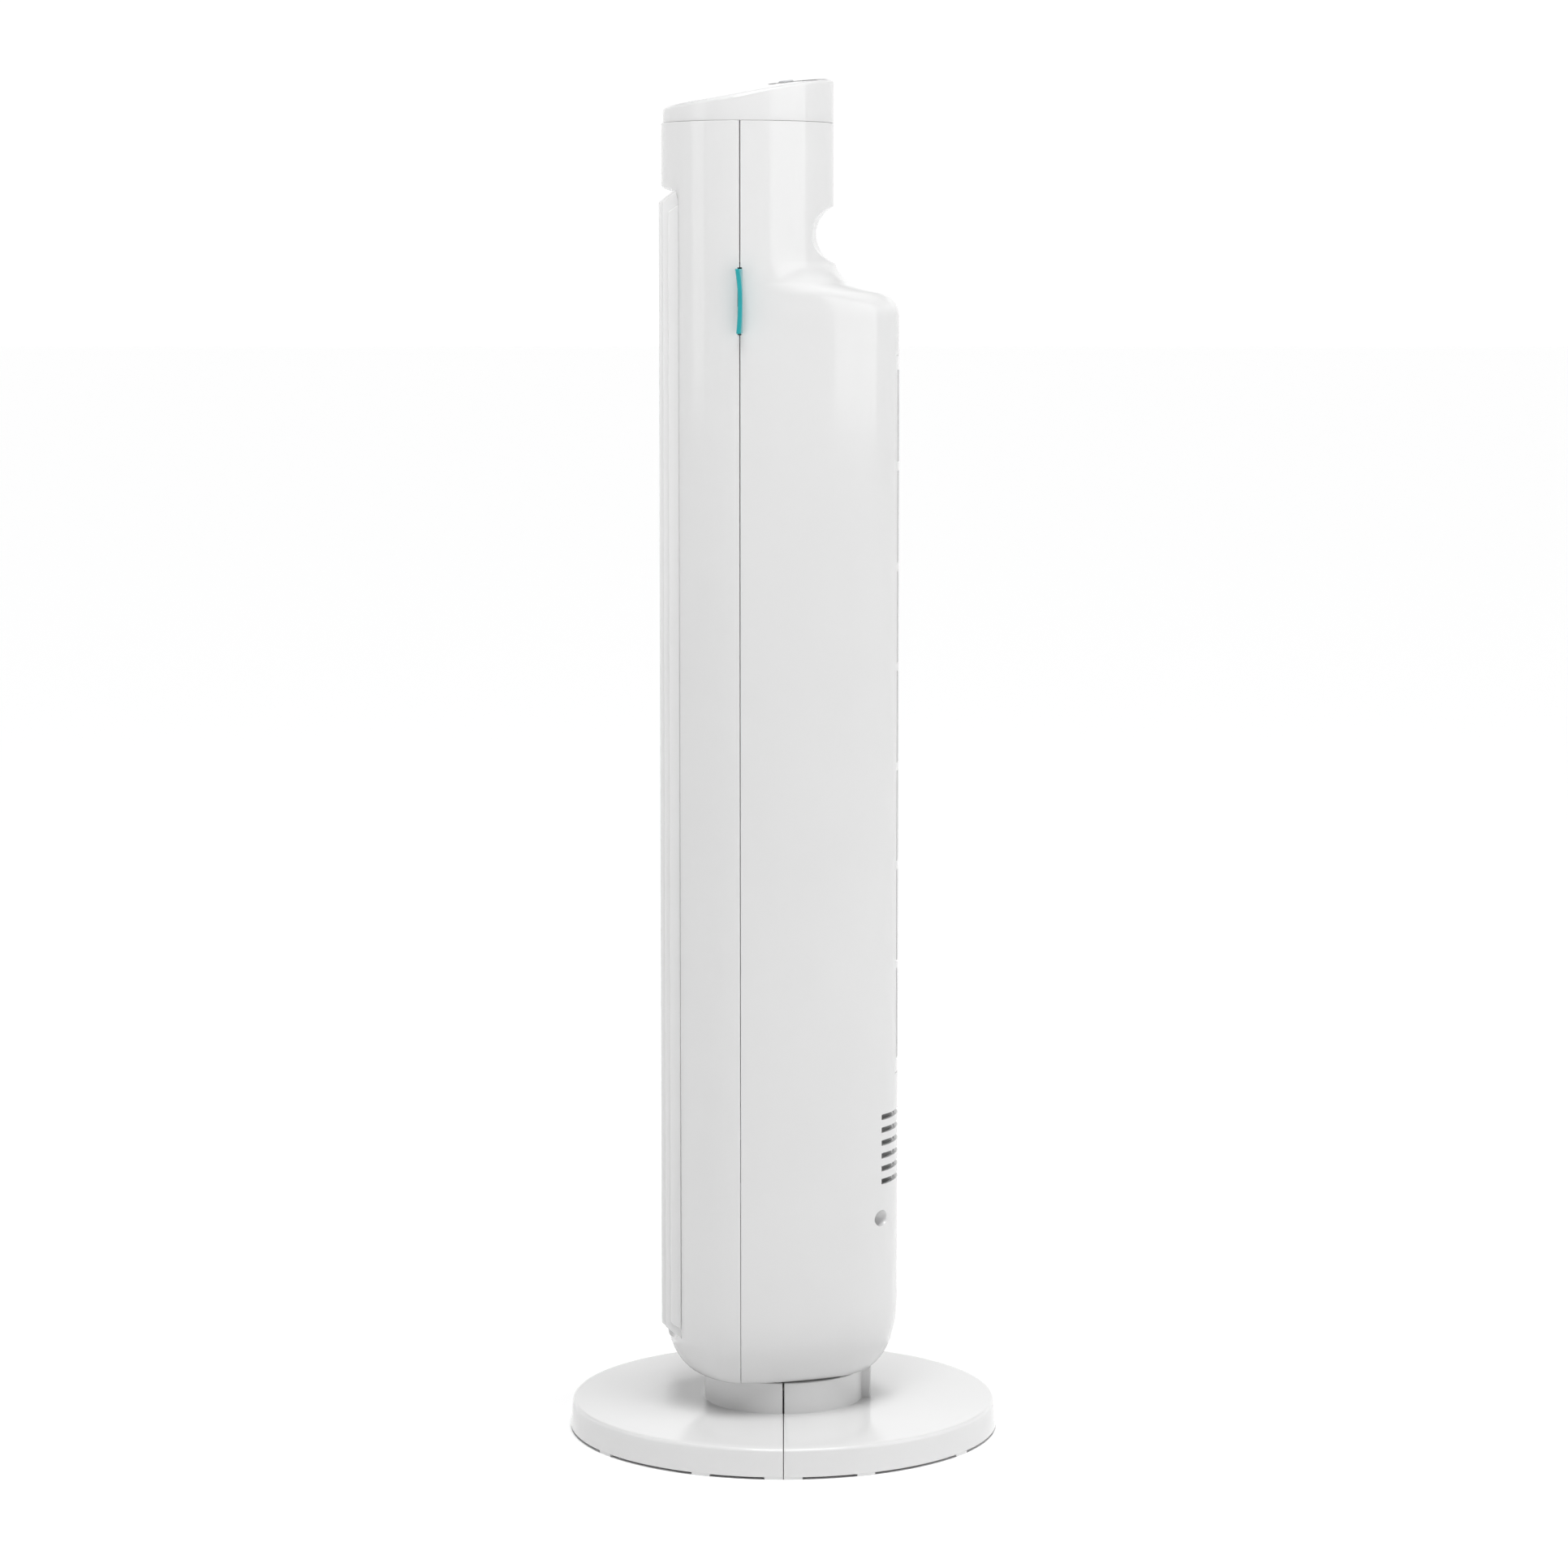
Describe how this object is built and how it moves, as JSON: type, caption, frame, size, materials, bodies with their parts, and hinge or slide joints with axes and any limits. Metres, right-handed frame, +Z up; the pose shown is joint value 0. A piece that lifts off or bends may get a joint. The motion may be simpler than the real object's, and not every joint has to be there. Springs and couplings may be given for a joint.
{
  "type": "tower fan",
  "caption": "Free-standing tower fan: round base, swivelling white tower with cross-flow blower, front outlet grille, carry grip and slanted top cap with push buttons.",
  "frame": {"origin": "centre of the round base, on the floor; the swivel axis is the Z axis", "axes": "+Z up; the air leaves towards -Y (front), the carry grip and air inlet face +Y, the tag is on the +X side"},
  "size_m": [0.255, 0.255, 0.8001],
  "materials": {
    "white_base": "moulded gloss white, polished top",
    "white_shell": "moulded gloss white",
    "white_grille": "moulded white, slightly less gloss",
    "teal_rubber": "soft teal rubber, satin",
    "black_rubber": "matt black rubber",
    "zinc_steel": "bright zinc",
    "bright_steel": "ground steel",
    "sheet_steel": "galvanised sheet",
    "nylon": "natural nylon",
    "duct_plastic": "unpainted grey-white plastic",
    "impeller_plastic": "dark glass-filled plastic",
    "cast_bell": "die cast",
    "laminations": "laminated steel edge",
    "copper": "enamelled copper wire",
    "bronze": "sintered bronze",
    "board_green": "solder mask",
    "black_plastic": "fine grain",
    "panel_black": "piano black",
    "smoked_lens": "smoked window",
    "button_grey": "satin light grey"
  },
  "bodies": {
    "base": {"base_front_half": "white_base", "base_rear_half": "white_base", "base_screws": "zinc_steel", "rubber_feet": "black_rubber", "pivot_post": "nylon", "post_screws": "zinc_steel", "slip_washer": "nylon", "retaining_clip": "zinc_steel", "slotted_arm": "sheet_steel", "arm_nut": "zinc_steel"},
    "tower": {"front_shell": "white_shell", "rear_shell": "white_shell", "top_cap": "white_shell", "front_grille": "white_grille", "rear_inlet_grille": "white_shell", "side_tag": "teal_rubber", "shell_screws": "zinc_steel", "swivel_housing": "nylon", "swivel_bush": "nylon", "housing_screws": "zinc_steel", "crank_bracket": "sheet_steel", "oscillation_motor": "sheet_steel", "oscillation_screws": "zinc_steel", "motor_stator": "laminations", "motor_windings": "copper", "motor_lower_bell": "cast_bell", "motor_upper_bell": "cast_bell", "motor_bearings": "bronze", "motor_plate": "sheet_steel", "motor_grommets": "black_rubber", "motor_screws": "zinc_steel", "scroll_casing": "duct_plastic", "air_tongue": "duct_plastic", "top_bearing_plate": "duct_plastic", "top_bearing": "bronze", "run_capacitor": "black_plastic", "power_board": "board_green", "power_parts": "black_plastic", "wiring_loom": "black_plastic", "control_panel": "panel_black", "display_lens": "smoked_lens", "led_display": "black_plastic", "control_board": "board_green", "tact_switches": "black_plastic", "board_screws": "zinc_steel"},
    "rotor": {"motor_rotor": "laminations", "motor_shaft": "bright_steel", "drive_hub": "black_rubber", "impeller": "impeller_plastic", "stub_shaft": "bright_steel"},
    "crank": {"crank_disc": "nylon", "crank_pin": "zinc_steel"},
    "button_1": {"button_power": "button_grey"},
    "button_2": {"button_speed": "button_grey"},
    "button_3": {"button_mode": "button_grey"},
    "button_4": {"button_timer": "button_grey"},
    "button_5": {"button_swing": "button_grey"}
  },
  "joints": [
    {"name": "oscillation", "type": "hinge", "parent": "base", "child": "tower", "pos_m": [0, 0, 0.045], "axis": [0, 0, 1], "range_deg": [-35, 35]},
    {"name": "impeller_spin", "type": "hinge", "parent": "tower", "child": "rotor", "pos_m": [0, 0.004, 0.2], "axis": [0, 0, 1], "continuous": true},
    {"name": "crank_turn", "type": "hinge", "parent": "tower", "child": "crank", "pos_m": [0, 0.03, 0.07], "axis": [0, 0, 1], "range_deg": [-125, 125]},
    {"name": "press_power", "type": "slide", "parent": "tower", "child": "button_1", "axis": [0, 0.1041, -0.9946], "range_m": [0, 0.0008], "stiffness_N_per_m": 400},
    {"name": "press_speed", "type": "slide", "parent": "tower", "child": "button_2", "axis": [0, 0.1041, -0.9946], "range_m": [0, 0.0008], "stiffness_N_per_m": 400},
    {"name": "press_mode", "type": "slide", "parent": "tower", "child": "button_3", "axis": [0, 0.1041, -0.9946], "range_m": [0, 0.0008], "stiffness_N_per_m": 400},
    {"name": "press_timer", "type": "slide", "parent": "tower", "child": "button_4", "axis": [0, 0.1041, -0.9946], "range_m": [0, 0.0008], "stiffness_N_per_m": 400},
    {"name": "press_swing", "type": "slide", "parent": "tower", "child": "button_5", "axis": [0, 0.1041, -0.9946], "range_m": [0, 0.0008], "stiffness_N_per_m": 400}
  ],
  "couplings": [
    {"joint": "crank_turn", "follows": "oscillation", "ratio": -3.5714}
  ]
}
